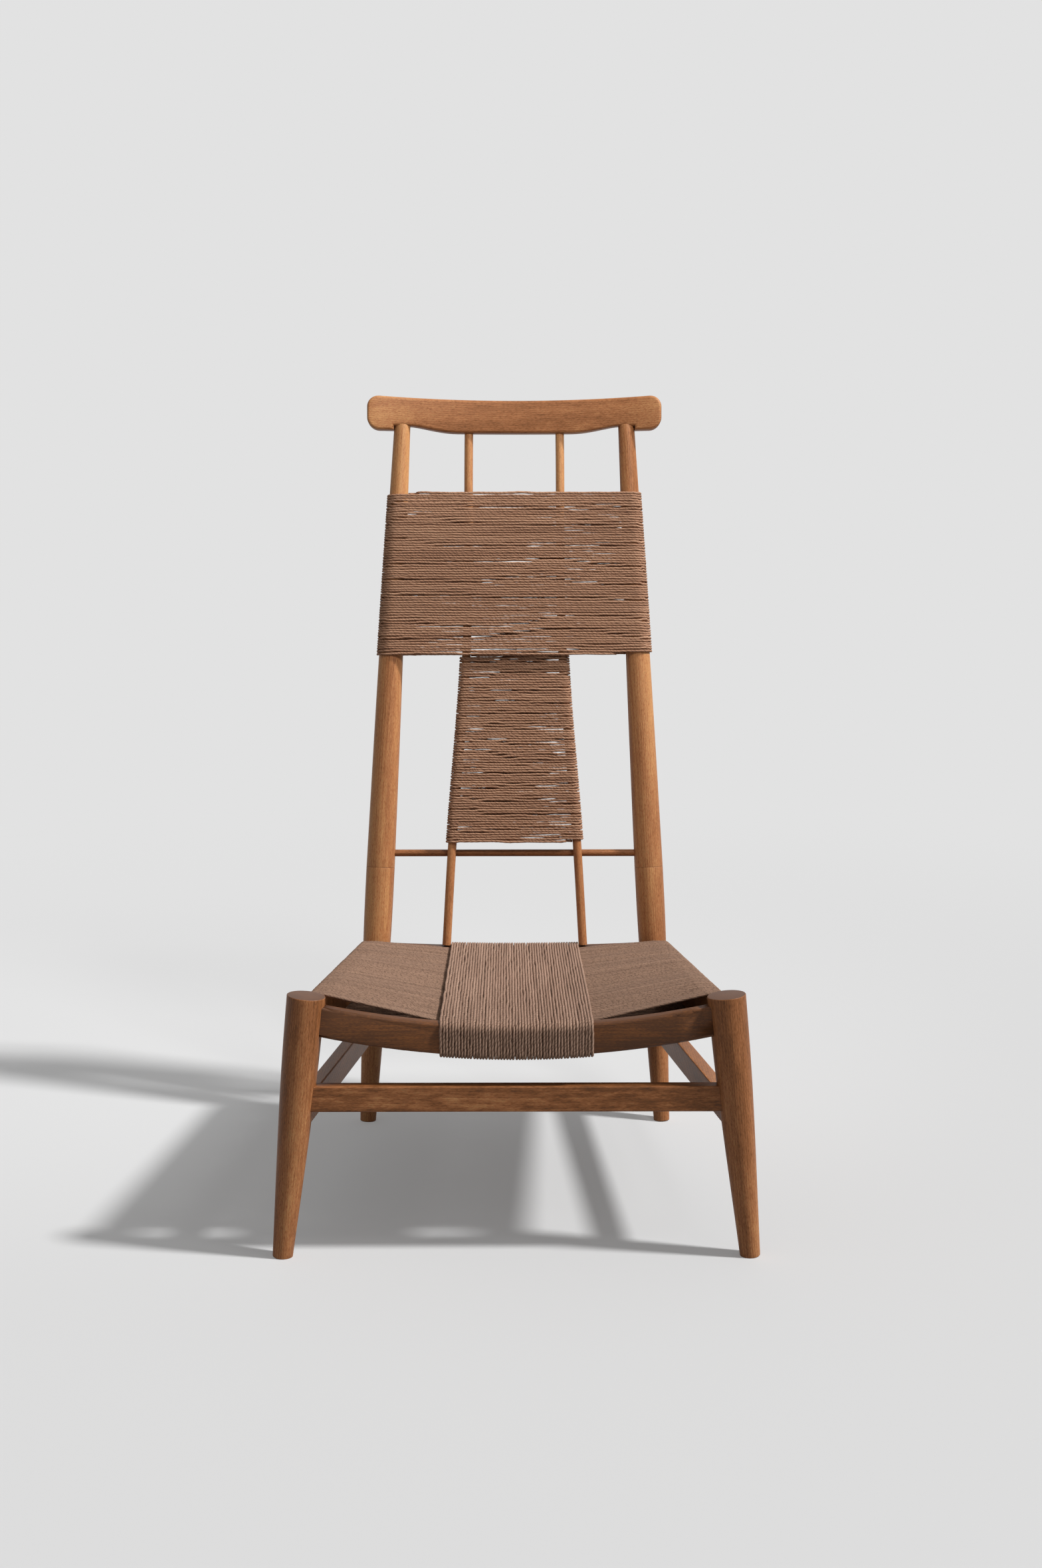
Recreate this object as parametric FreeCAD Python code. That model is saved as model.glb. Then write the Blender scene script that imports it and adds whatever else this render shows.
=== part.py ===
import FreeCAD, Part
import math
import os
from FreeCAD import Vector

# Low wooden lounge chair: turned legs, a tall tapered back, and cord wound on back and seat.
# Lengths are in millimetres. The sitter faces -Y, so the sitter's left is at +X.

# Front legs, turned, splayed sideways
front_foot_spread = 622.8
front_leg_top_spread = 549.9
front_leg_height = 356.0
front_leg_dia = 50.8
front_leg_profile_shares = [(0.0, 0.53), (0.62, 0.905), (0.80, 0.968), (1.0, 1.0)]
front_leg_top_edge = 1.2

# Rear legs, and the back posts that carry on from them, turned, leaning back
stance_depth = 598.0
rear_foot_spread = 470.6
back_lean = 7.0
rear_leg_length = 407.0
back_post_length = 703.0
post_top_spread = 355.6
seam_dia = 45.2
seam_edge = 0.7
rear_leg_profile_shares = [(0.0, 0.553), (0.62, 0.93), (0.78, 0.987), (1.0, 1.0)]
back_post_profile_shares = [(0.0, 1.0), (0.45, 0.861), (1.0, 0.565)]

# Feet, rounded off below and cut level with the floor
foot_round = 3.5
foot_past = 1.8

# Joints between the wooden pieces
fit_gap = 0.12
socket_spare = 1.0
tenon_depth = 13.0
tenon_thick = 10.0
tenon_round = 1.5
rail_end_share = 0.6
post_dowel_dia = 14.0
post_dowel_length = 46.0
post_tenon_dia = 15.0
post_tenon_length = 24.0

# Crest rail, a board bent in plan, with ends that hang outside the posts
crest_length = 465.6
crest_thick = 25.0
crest_bend = 22.8
crest_rise = 38.8
crest_end_rise = 6.5
crest_ear_drop = 10.5
crest_shoulder_drop = 5.5
crest_belly_drop = 13.7
crest_belly_length = 204.0
crest_corner_round = 19.0
crest_top_radius = 5500.0
crest_sweep_round = 60.0

# Spindles, two thin rods from the rear seat rail to the crest, bent inwards
spindle_dia = 13.7
spindle_foot_spread = 217.0
spindle_bend_spread = 157.6
spindle_top_spread = 144.8
spindle_bend_share = 0.473
spindle_bend_radius = 4000.0
spindle_tenon_dia = 9.0
spindle_tenon_length = 17.0
spindle_edge_wall = 3.0

# Back dowel, a thin rod between the posts that passes behind the spindles
back_dowel_dia = 11.0
back_dowel_over_seam = 21.9
back_dowel_socket = 12.0

# Seat rails
seat_rail_round = 4.0
front_rail_thick = 22.0
front_rail_height = 41.1
front_rail_top = 316.5
front_rail_sag = 31.6
front_rail_forward = 1.0
front_rail_tenon_height = 24.0
side_rail_thick = 22.0
side_rail_height = 49.5
side_rail_front_top = 349.8
side_rail_rear_top = 285.2
side_rail_inset = 12.5
side_rail_outset = 8.0
side_rail_tenon_height = 26.0
rear_rail_thick = 23.0
rear_rail_drop = 5.2
rear_rail_sag = 6.0
rear_rail_tenon_height = 26.0

# Stretchers
stretcher_round = 2.0
front_stretcher_height = 34.4
front_stretcher_thick = 21.0
front_stretcher_middle = 218.2
front_stretcher_tenon_height = 22.0
side_stretcher_height = 36.0
side_stretcher_thick = 20.0
side_stretcher_front_middle = 186.0
side_stretcher_rear_middle = 157.0
side_stretcher_tenon_height = 18.0

# Cord and its four windings, each one unbroken length. The real turns lie side by side,
# some 60 and 70 up the back, 130 across the seat and 50 along it. Here they are fewer,
# and the cord's section is a square of the round cord's area.
cord_dia = 3.9
cord_gap = 0.3
cord_sides = 4
cord_end_run = 5.0
passed_over_spots_count = 4
wrap_round_share = 0.97
lower_cord_turns = 18
lower_cord_over_dowel = 20.1
lower_cord_length = 295.5
upper_cord_turns = 16
upper_cord_over_lower = 6.0
upper_cord_under_top = 109.0
cross_cord_turns = 22
cross_cord_front = 32.0
cross_bow_round = 120.0
band_cord_turns = 12
band_width = 202.0
band_bend_round = 60.0

# How far a cutting tool runs past the faces that it cuts
overrun = 60.0

# Sizes that follow from those
lean = math.radians(back_lean)
back_length = rear_leg_length + back_post_length
cord_reach = cord_dia / 2 * math.sqrt(math.tau / cord_sides / math.sin(math.tau / cord_sides))
wrap = cord_gap + cord_reach
stack = 2 * wrap
back_dowel_height = rear_leg_length + back_dowel_over_seam
lower_cord_low = back_dowel_height + lower_cord_over_dowel
lower_cord_high = lower_cord_low + lower_cord_length
upper_cord_low = lower_cord_high + upper_cord_over_lower
upper_cord_high = back_length - upper_cord_under_top
edge_turn = seat_rail_round + wrap
UP = Vector(0, 0, 1)


def mix(a, b, share):
    """What lies at a share of the way from a to b."""
    return a + (b - a) * share


def stepped(pairs, share):
    """The second value of pairs at a share, read along straight lines between them."""
    for (s0, r0), (s1, r1) in zip(pairs, pairs[1:]):
        if share <= s1:
            break
    return mix(r0, r1, (share - s0) / (s1 - s0))


def arc_rise(x, half, sag):
    """How far above its lowest point an arc has climbed at x."""
    radius = (half ** 2 + sag ** 2) / (2 * sag)
    return radius - math.sqrt(radius ** 2 - x ** 2)


def route(points, radii, closed=False):
    """Straight runs through the points, with each corner rounded by an arc of its radius."""
    count = len(points)
    ends = []
    arcs = []
    for i, corner in enumerate(points):
        if radii[i] == 0:
            ends.append((corner, corner))
            arcs.append(None)
            continue
        back = (points[i - 1] - corner).normalize()
        on = (points[(i + 1) % count] - corner).normalize()
        half_turn = (math.pi - back.getAngle(on)) / 2
        reach = radii[i] * math.tan(half_turn)
        middle = corner + (back + on).normalize() * (radii[i] / math.cos(half_turn) - radii[i])
        ends.append((corner + back * reach, corner + on * reach))
        arcs.append(Part.Arc(ends[i][0], middle, ends[i][1]).toShape())
    edges = []
    for i in range(count):
        if arcs[i]:
            edges.append(arcs[i])
        a = ends[i][1]
        b = ends[(i + 1) % count][0]
        if (closed or i < count - 1) and not a.isEqual(b, fit_gap / 100):
            edges.append(Part.LineSegment(a, b).toShape())
    return Part.Wire(edges)


def placed(shape, origin, along, up=UP):
    """A shape drawn along +Z, with its height on Y, put where along and up say."""
    z = Vector(along).normalize()
    x = Vector(up).cross(z).normalize()
    y = z.cross(x)
    moved = shape.copy()
    moved.Placement = FreeCAD.Placement(FreeCAD.Matrix(
        x.x, y.x, z.x, origin.x,
        x.y, y.y, z.y, origin.y,
        x.z, y.z, z.z, origin.z))
    return moved


def bar(start, end, thick, height, edge, up=UP):
    """A straight bar from start to end, its long edges rounded."""
    x = thick / 2
    y = height / 2
    corners = [Vector(x, y, 0), Vector(-x, y, 0), Vector(-x, -y, 0), Vector(x, -y, 0)]
    section = Part.Face(route(corners, [edge] * len(corners), closed=True))
    along = end - start
    return placed(section.extrude(Vector(0, 0, along.Length)), start, along, up)


def rod(start, end, dia):
    """A round rod from start to end."""
    along = end - start
    return Part.makeCylinder(dia / 2, along.Length, start, along)


def turned(start, end, shares, dia, low_round, top_round, past=0.0, grow=0.0):
    """A turned piece that tapers in straight runs between its stations.

    A station is a share of the length, and the share of dia that it is turned to there.
    """
    length = (end - start).Length
    spots = [Vector(r * dia / 2 + grow, 0, s * length) for s, r in shares]
    spots[0].z = -past
    points = [Vector(0, 0, -past)] + spots + [Vector(0, 0, length)]
    inner = [0] * (len(spots) - 2)
    outline = route(points, [0, low_round] + inner + [top_round, 0], closed=True)
    solid = Part.Face(outline).revolve(Vector(0, 0, 0), UP, 360)
    return placed(solid, start, end - start, up=Vector(0, 1, 0))


def dished_board(half, top, sag, height, thick, y):
    """A board on edge, its top and bottom sagging by one arc, its long edges rounded."""
    def arc(level):
        ends = level + sag
        return Part.Arc(Vector(-half, y, ends), Vector(0, y, level), Vector(half, y, ends)).toShape()

    def end(x):
        return Part.LineSegment(Vector(x, y, top - height + sag), Vector(x, y, top + sag)).toShape()

    face = Part.Face(Part.Wire([arc(top), end(half), arc(top - height), end(-half)]))
    face.translate(Vector(0, -thick / 2, 0))
    board = face.extrude(Vector(0, thick, 0))
    long_edges = [e for e in board.Edges if e.BoundBox.XLength > half]
    return board.makeFillet(seat_rail_round, long_edges)


def cord(points, radii, up=UP):
    """One unbroken cord along a route, from a section with flat sides, one of them facing up."""
    path = route(points, radii)
    corners = []
    for i in range(cord_sides + 1):
        turn = math.tau * (i + 0.5) / cord_sides
        corners.append(Vector(cord_reach * math.sin(turn), cord_reach * math.cos(turn), 0))
    section = placed(Part.makePolygon(corners), points[0], points[1] - points[0], up)
    return path, path.makePipeShell([section], True, False)


def least_gap(path):
    """The least gap of a cord to itself, from points along its middle line."""
    spots = path.discretize(Distance=cord_dia)
    least = cord_dia * len(spots)
    for i, a in enumerate(spots):
        for b in spots[i + passed_over_spots_count:]:
            if abs(a.x - b.x) < least and abs(a.y - b.y) < least and abs(a.z - b.z) < least:
                least = min(least, (a - b).Length)
    return least - 2 * cord_reach


def pair(left):
    """A piece at +X and its mirror image at -X."""
    return left, left.mirror(Vector(0, 0, 0), Vector(1, 0, 0))


def cut_all(shape, tools):
    for tool in tools:
        shape = shape.cut(tool)
    return shape


# Lines that the legs and the back follow

front_foot = Vector(front_foot_spread / 2, 0, 0)
front_top = Vector(front_leg_top_spread / 2, 0, front_leg_height)
back_place = FreeCAD.Placement(
    Vector(0, stance_depth, 0), FreeCAD.Rotation(Vector(1, 0, 0), -back_lean))


def front_leg_x(z):
    return mix(front_foot.x, front_top.x, z / front_leg_height)


def front_leg_radius(z):
    return stepped(front_leg_profile_shares, z / front_leg_height) * front_leg_dia / 2


def on_back(u, v, w=0.0):
    """A place on the leaning back: u sideways, v up along it from the floor, w behind it."""
    return back_place.multVec(Vector(u, w, v))


def post_half(v):
    """Half the distance between the axes of the posts, which carry on down as the rear legs."""
    return mix(rear_foot_spread, post_top_spread, v / back_length) / 2


def post_radius(v):
    share = (v - rear_leg_length) / back_post_length
    return stepped(back_post_profile_shares, share) * seam_dia / 2


def rear_leg_at(z):
    """The axis of a rear leg at a height."""
    v = z / math.cos(lean)
    return on_back(post_half(v), v)


def rear_leg_radius(z):
    share = z / math.cos(lean) / rear_leg_length
    return stepped(rear_leg_profile_shares, share) * seam_dia / 2


# Places on the crest, the spindles and the seat rails

crest_half = crest_length / 2
crest_plan_radius = (crest_half ** 2 + crest_bend ** 2) / (2 * crest_bend)
post_top_half = post_top_spread / 2
crest_middle_w = arc_rise(post_top_half, crest_half, crest_bend)


def crest_w(u):
    """How far behind the posts' plane the middle of the bent crest lies."""
    return crest_middle_w - arc_rise(u, crest_half, crest_bend)


spindle_top = Vector(
    spindle_top_spread / 2, crest_w(spindle_top_spread / 2), back_length - crest_belly_drop)
spindle_at_dowel = -(back_dowel_dia / 2 + spindle_dia / 2 + cord_gap)
spindle_slope = (spindle_top.y - spindle_at_dowel) / (spindle_top.z - back_dowel_height)


def spindle_w(v):
    """How far behind the posts' plane a spindle is, kept just in front of the back dowel."""
    return spindle_at_dowel + (v - back_dowel_height) * spindle_slope


rear_rail_top = side_rail_rear_top - rear_rail_drop
spindle_foot_v = rear_rail_top / math.cos(lean)
spindle_foot = Vector(spindle_foot_spread / 2, spindle_w(spindle_foot_v), spindle_foot_v)
bend_v = mix(spindle_foot.z, spindle_top.z, spindle_bend_share)
spindle_bend = Vector(spindle_bend_spread / 2, spindle_w(bend_v), bend_v)
low_slope = (spindle_bend.x - spindle_foot.x) / (spindle_bend.z - spindle_foot.z)
top_slope = (spindle_top.x - spindle_bend.x) / (spindle_top.z - spindle_bend.z)
bend_reach = spindle_bend_radius * (math.atan(top_slope) - math.atan(low_slope)) / 2


def spindle_half(v):
    """Half the distance between the spindles, which bend along an arc between two straights."""
    if v < spindle_bend.z:
        line = spindle_foot.x + low_slope * (v - spindle_foot.z)
    else:
        line = spindle_bend.x + top_slope * (v - spindle_bend.z)
    into_arc = max(0.0, bend_reach - abs(v - spindle_bend.z))
    return line + into_arc ** 2 / (2 * spindle_bend_radius)


side_slope = (side_rail_rear_top - side_rail_front_top) / rear_leg_at(side_rail_rear_top).y
side_half_rise = side_rail_height / 2 / math.cos(math.atan(side_slope))
side_front_z = side_rail_front_top - side_half_rise
side_rear_z = side_rail_rear_top - side_half_rise
side_front = Vector(front_leg_x(side_front_z) - side_rail_inset, 0, side_front_z)
side_rear = rear_leg_at(side_rear_z) + Vector(side_rail_outset, 0, 0)
side_rear.z = side_front.z + side_slope * side_rear.y


def side_rail_x(y):
    """The middle of a side rail at a depth."""
    return mix(side_front.x, side_rear.x, y / side_rear.y)


def side_rail_top(y):
    return side_rail_front_top + side_slope * y


front_rail_half = front_leg_x(front_rail_top)
front_rail_front = -front_rail_forward - front_rail_thick / 2
front_rail_back = front_rail_front + front_rail_thick
rear_rail_front = back_place.multVec(spindle_foot).y - spindle_tenon_dia / 2 - spindle_edge_wall
rear_rail_back = rear_rail_front + rear_rail_thick
rear_rail_half = rear_leg_at(rear_rail_top).x
rear_leg_front = rear_leg_at(side_rear.z - side_half_rise).y - rear_leg_radius(side_rear.z)
cross_cord_rear = min(rear_rail_front, rear_leg_front) - wrap
band_half = band_width / 2
rear_rail_bottom = (side_rail_top(cross_cord_rear) - 2 * side_half_rise - stack
                    - arc_rise(band_half, rear_rail_half, rear_rail_sag))
rear_rail_height = rear_rail_top - rear_rail_bottom


# Frame pieces

def front_leg_blank(grow=0.0):
    leg = turned(front_foot, front_top, front_leg_profile_shares, front_leg_dia,
                 foot_round, front_leg_top_edge, foot_past, grow)
    return leg.cut(below_floor)


def rear_leg_blank(grow=0.0):
    leg = turned(on_back(post_half(0), 0), on_back(post_half(rear_leg_length), rear_leg_length),
                 rear_leg_profile_shares, seam_dia, foot_round, seam_edge, foot_past, grow)
    return leg.cut(below_floor)


floor_size = 2 * (front_foot_spread + stance_depth)
below_floor = Part.makeBox(
    floor_size, floor_size, overrun, Vector(-floor_size / 2, -floor_size / 2, -overrun))
front_legs = pair(front_leg_blank(fit_gap))
rear_legs = pair(rear_leg_blank(fit_gap))


def tenoned(board, legs, joints):
    """A rail coped to its legs, with its tenons, and the sockets that they need.

    Each joint gives where the rail's middle line meets the leg, the way into the leg,
    and the tenon's height.
    """
    board = cut_all(board, legs)
    sockets = []
    for mouth, into, height in joints:
        inside = mouth - into * tenon_depth
        tip = mouth + into * tenon_depth
        board = board.fuse(bar(inside, tip, tenon_thick, height, tenon_round))
        sockets.append(bar(mouth - into * overrun, tip + into * socket_spare,
                           tenon_thick + 2 * fit_gap, height + 2 * fit_gap, tenon_round + fit_gap))
    return board.removeSplitter(), sockets


def mirrored_joint(joint):
    mouth, into, height = joint
    return Vector(-mouth.x, mouth.y, mouth.z), Vector(-into.x, into.y, into.z), height


def into_round(axis_x, radius, offset):
    """Where a line that passes a round leg's axis at an offset meets its inner side."""
    return axis_x - math.sqrt(radius ** 2 - offset ** 2)


def make_front_seat_rail():
    y = -front_rail_forward
    board = dished_board(front_rail_half, front_rail_top, front_rail_sag,
                         front_rail_height, front_rail_thick, y)
    z = front_rail_top + front_rail_sag - front_rail_height / 2
    mouth = Vector(into_round(front_leg_x(z), front_leg_radius(z), y), y, z)
    z += arc_rise(mouth.x, front_rail_half, front_rail_sag) - front_rail_sag
    mouth.z = z
    joint = (mouth, Vector(1, 0, 0), front_rail_tenon_height)
    return tenoned(board, front_legs, [joint, mirrored_joint(joint)])


def make_rear_seat_rail():
    y = (rear_rail_front + rear_rail_back) / 2
    z = rear_rail_top + rear_rail_sag - rear_rail_height / 2
    leg = rear_leg_at(z)
    radius = rear_leg_radius(z)
    board = dished_board(rear_rail_half, rear_rail_top, rear_rail_sag,
                         rear_rail_height, rear_rail_thick, y)
    half = leg.x - rail_end_share * radius
    trim = Part.makeBox(overrun, 2 * overrun, 2 * rear_rail_height + overrun,
                        Vector(half, y - overrun, rear_rail_bottom - overrun))
    board = cut_all(board, pair(trim))
    mouth = Vector(into_round(leg.x, radius, y - leg.y), y, z)
    joint = (mouth, Vector(1, 0, 0), rear_rail_tenon_height)
    rail, sockets = tenoned(board, rear_legs, [joint, mirrored_joint(joint)])
    return rail, sockets


def make_side_seat_rail():
    along = (side_rear - side_front).normalize()
    board = bar(side_front, side_rear, side_rail_thick, side_rail_height, seat_rail_round)
    trim = Vector(side_front.x - overrun, front_rail_back + cord_gap - 2 * overrun, side_front.z - overrun)
    board = board.cut(Part.makeBox(2 * overrun, 2 * overrun, 2 * overrun, trim))
    front_y = math.sqrt(front_leg_radius(side_front.z) ** 2 - side_rail_inset ** 2)
    rear_y = side_rear.y - math.sqrt(rear_leg_radius(side_rear.z) ** 2 - side_rail_outset ** 2)
    front_joint = (side_front + along * (front_y / along.y), -along, side_rail_tenon_height)
    rear_joint = (side_front + along * (rear_y / along.y), along, side_rail_tenon_height)
    return tenoned(board, [front_legs[0], rear_legs[0]], [front_joint, rear_joint])


def make_front_stretcher():
    z = front_stretcher_middle
    half = front_leg_x(z)
    board = bar(Vector(-half, 0, z), Vector(half, 0, z),
                front_stretcher_thick, front_stretcher_height, stretcher_round)
    joint = (Vector(half - front_leg_radius(z), 0, z), Vector(1, 0, 0), front_stretcher_tenon_height)
    return tenoned(board, front_legs, [joint, mirrored_joint(joint)])


def make_side_stretcher():
    front_z = side_stretcher_front_middle
    rear = rear_leg_at(side_stretcher_rear_middle)
    front = Vector(front_leg_x(front_z), 0, front_z)
    along = (rear - front).normalize()
    board = bar(front, rear, side_stretcher_thick, side_stretcher_height, stretcher_round)
    front_joint = (front + along * front_leg_radius(front_z), -along, side_stretcher_tenon_height)
    rear_joint = (rear - along * rear_leg_radius(rear.z), along, side_stretcher_tenon_height)
    return tenoned(board, [front_legs[0], rear_legs[0]], [front_joint, rear_joint])


def post_dowel(grow=0.0, spare=0.0):
    half = post_dowel_length / 2 + spare
    low = rear_leg_length - half
    top = rear_leg_length + half
    return rod(on_back(post_half(low), low), on_back(post_half(top), top), post_dowel_dia + 2 * grow)


def post_tenon(grow=0.0, spare=0.0):
    low = back_length - post_tenon_length
    top = back_length + post_tenon_length + spare
    return rod(on_back(post_half(low), low), on_back(post_half(top), top), post_tenon_dia + 2 * grow)


def back_dowel(grow=0.0, spare=0.0):
    v = back_dowel_height
    half = post_half(v) - post_radius(v) + back_dowel_socket + spare
    return rod(on_back(-half, v), on_back(half, v), back_dowel_dia + 2 * grow)


def back_post_blank(grow=0.0):
    return turned(on_back(post_half(rear_leg_length), rear_leg_length), on_back(post_top_half, back_length),
                  back_post_profile_shares, seam_dia, seam_edge, seam_edge, grow=grow)


def make_back_post():
    post = back_post_blank().fuse(post_tenon())
    return cut_all(post, [post_dowel(fit_gap, socket_spare), back_dowel(fit_gap, socket_spare)])


def spindle_tenon(at_foot, grow=0.0, spare=0.0):
    """The thinner end of a spindle, down in the rear rail or up in the crest."""
    end = spindle_foot if at_foot else spindle_top
    along = (end - spindle_bend).normalize()
    start = end - along * spindle_tenon_length
    stop = end + along * (spindle_tenon_length + spare)
    return rod(back_place.multVec(start), back_place.multVec(stop), spindle_tenon_dia + 2 * grow)


def make_spindle():
    # It starts above the dished top of the rail, and its square end stops short of the crest
    lift = arc_rise(spindle_foot.x, rear_rail_half, rear_rail_sag)
    heel = spindle_foot + (spindle_bend - spindle_foot).normalize() * lift
    along = (spindle_top - spindle_bend).normalize()
    head = spindle_top - along * (spindle_dia / 2 * math.hypot(along.x, along.y) / along.z)
    points = [back_place.multVec(p) for p in (heel, spindle_bend, head)]
    path = route(points, [0, spindle_bend_radius, 0])
    section = Part.Wire(Part.makeCircle(spindle_dia / 2, points[0], points[1] - points[0]))
    body = path.makePipeShell([section], True, False)
    return body.fuse(spindle_tenon(True)).fuse(spindle_tenon(False)).removeSplitter()


def make_crest():
    """The bent crest board, notched over the posts and bored for posts and spindles."""
    top = back_length + crest_rise
    ear = back_length - crest_ear_drop
    shoulder = back_length - crest_shoulder_drop
    belly = back_length - crest_belly_drop
    post_r = post_radius(back_length)
    outline = [
        (Vector(0, 0, top), crest_top_radius),
        (Vector(crest_half, 0, top + crest_end_rise), crest_corner_round),
        (Vector(crest_half, 0, ear), crest_corner_round),
        (Vector(post_top_half + post_r, 0, ear), 0),
        (Vector(post_top_half - post_r, 0, shoulder), 0),
        (Vector(crest_belly_length / 2, 0, belly), crest_sweep_round)]
    mirrored = [(Vector(-p.x, 0, p.z), r) for p, r in reversed(outline[1:])]
    points, radii = zip(*(outline + mirrored))
    face = Part.Face(route(list(points), list(radii), closed=True))
    face.translate(Vector(0, -overrun, 0))
    board = face.extrude(Vector(0, 2 * overrun, 0))
    centre = Vector(0, crest_middle_w - crest_plan_radius, belly - overrun)
    tall = top - belly + 2 * overrun
    outer = Part.makeCylinder(crest_plan_radius + crest_thick / 2, tall, centre, UP)
    inner = Part.makeCylinder(crest_plan_radius - crest_thick / 2, tall, centre, UP)
    board = board.common(outer.cut(inner))
    notch = Part.makeBox(2 * post_r + 2 * fit_gap, 2 * overrun, overrun,
                         Vector(post_top_half - post_r - fit_gap, -overrun, back_length - overrun))
    board = cut_all(board, pair(notch))
    board.Placement = back_place
    for tool in back_post_blank(fit_gap), post_tenon(fit_gap, socket_spare):
        board = cut_all(board, pair(tool))
    return cut_all(board, pair(spindle_tenon(False, fit_gap, socket_spare)))


# Windings

def make_back_winding(low, high, turns, half_at, radius_at, w_at):
    """Cord wound about two rods of the back, level in front and climbing behind."""
    points = []
    radii = []

    def add(u, w, v, radius):
        points.append(on_back(u, v, w))
        radii.append(radius)

    def tuck(v, hand, order):
        """An end of the cord, turned in behind the front turns and square to its rod."""
        around = radius_at(v) + wrap
        face = half_at(v) - radius_at(v) - cord_gap
        far = face - cord_end_run - around / 2
        spots = [(face, w_at(v), 0), (far, w_at(v), around / 2), (far, w_at(v) - around, around / 2)]
        for u, w, radius in spots[::order]:
            add(hand * u, w, v, radius)

    pitch = (high - low) / turns
    tuck(low, 1, 1)
    for i in range(turns):
        v = low + i * pitch
        around = radius_at(v) + wrap
        side = -half_at(v) - around
        add(side, w_at(v) - around, v, around * wrap_round_share)
        add(side, w_at(v) + around, v, around * wrap_round_share)
        v += pitch
        around = radius_at(v) + wrap
        side = half_at(v) + around
        add(side, w_at(v) + around, v, around * wrap_round_share)
        add(side, w_at(v) - around, v, around * wrap_round_share)
    tuck(high, -1, -1)
    return cord(points, radii, back_place.Rotation.multVec(UP))


def flat_plane(v):
    return 0.0


def spindle_radius(v):
    return spindle_dia / 2


def band_level(x, along):
    """Height of the band cord's middle line, along being 0 at the front rail and 1 at the rear."""
    front = front_rail_top + arc_rise(x, front_rail_half, front_rail_sag)
    rear = rear_rail_top + arc_rise(x, rear_rail_half, rear_rail_sag)
    return mix(front, rear, along) + wrap


def make_cross_winding():
    """Cord wound about the side rails, dipping under the band and moving back below."""
    points = []
    radii = []

    def add(x, y, z, radius):
        points.append(Vector(x, y, z))
        radii.append(radius)

    def places(y):
        """The winding's side, and how high it is over the rail, below it and under the band."""
        side = side_rail_x(y) + side_rail_thick / 2 + wrap
        top = side_rail_top(y) + wrap
        along = (y - front_rail_back) / (rear_rail_back - front_rail_back)
        return side, top, top - 2 * side_half_rise - 2 * wrap, band_level(0, along) - stack

    def inner_edge(y):
        return side_rail_x(y) - side_rail_thick / 2

    def dip_across(y):
        side, top, low, dip = places(y)
        add(band_half, y, dip, cross_bow_round)
        add(-band_half, y, dip, cross_bow_round)

    def over_rail(y, hand, order):
        side, top, low, dip = places(y)
        for x, z in [(inner_edge(y), top), (side, top), (side, low)][::order]:
            add(hand * x, y, z, edge_turn)

    def tuck(y, hand, order):
        """An end of the cord, turned down behind its rail and square to it."""
        side, top, low, dip = places(y)
        face = inner_edge(y) - cord_gap
        far = face - cord_end_run - edge_turn
        level = mix(dip, top, (far - band_half) / (inner_edge(y) - band_half))
        middle = (top + low) / 2
        spots = [(face, middle, 0), (far, middle, edge_turn), (far, level, edge_turn)]
        for x, z, radius in spots[::order]:
            add(hand * x, y, z, radius)

    pitch = (cross_cord_rear - cross_cord_front) / cross_cord_turns
    tuck(cross_cord_front, 1, 1)
    for i in range(cross_cord_turns):
        y = cross_cord_front + i * pitch
        dip_across(y)
        over_rail(y, -1, 1)
        over_rail(y + pitch, 1, -1)
    dip_across(cross_cord_rear)
    tuck(cross_cord_rear, -1, -1)
    return cord(points, radii)


def make_band_winding():
    """Cord wound about the front and rear rails, over the turns that cross the seat."""
    points = []
    radii = []
    front = front_rail_front - wrap
    rear = rear_rail_back + wrap

    def add(x, y, z, radius):
        points.append(Vector(x, y, z))
        radii.append(radius)

    def tuck(x, face, inward, middle, order):
        """An end of the cord, turned down beside its rail and square to it."""
        far = face + inward * (cord_end_run + edge_turn)
        level = band_level(x, (far - front_rail_back) / (rear_rail_back - front_rail_back))
        spots = [(face, middle, 0), (far, middle, edge_turn), (far, level, edge_turn)]
        for y, z, radius in spots[::order]:
            add(x, y, z, radius)

    first = -band_half + cord_reach
    pitch = (band_width - 2 * cord_reach) / band_cord_turns
    middle = band_level(first, 1) - wrap - rear_rail_height / 2
    tuck(first, rear_rail_front - cord_gap, -1, middle, 1)
    for i in range(band_cord_turns):
        x = first + i * pitch
        add(x, front_rail_back, band_level(x, 0), band_bend_round)
        add(x, front, band_level(x, 0), edge_turn)
        add(x, front, band_level(x, 0) - front_rail_height - 2 * wrap, edge_turn)
        x += pitch
        low = band_level(x, 1) - rear_rail_height - 2 * wrap
        add(x, rear_rail_front, low, band_bend_round)
        add(x, rear, low, edge_turn)
        add(x, rear, band_level(x, 1), edge_turn)
    middle = band_level(x, 0) - wrap - front_rail_height / 2
    tuck(x, front_rail_back + cord_gap, 1, middle, -1)
    return cord(points, radii)


# The whole chair

front_rail, front_rail_sockets = make_front_seat_rail()
rear_rail, rear_rail_sockets = make_rear_seat_rail()
side_rail, side_rail_sockets = make_side_seat_rail()
front_stretcher, front_stretcher_sockets = make_front_stretcher()
side_stretcher, side_stretcher_sockets = make_side_stretcher()

front_leg = cut_all(front_leg_blank(), [
    front_rail_sockets[0], side_rail_sockets[0], front_stretcher_sockets[0], side_stretcher_sockets[0]])
rear_leg = cut_all(rear_leg_blank(), [
    rear_rail_sockets[0], side_rail_sockets[1], side_stretcher_sockets[1],
    post_dowel(fit_gap, socket_spare)])
rear_rail = cut_all(rear_rail, pair(spindle_tenon(True, fit_gap, socket_spare)))

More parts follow.
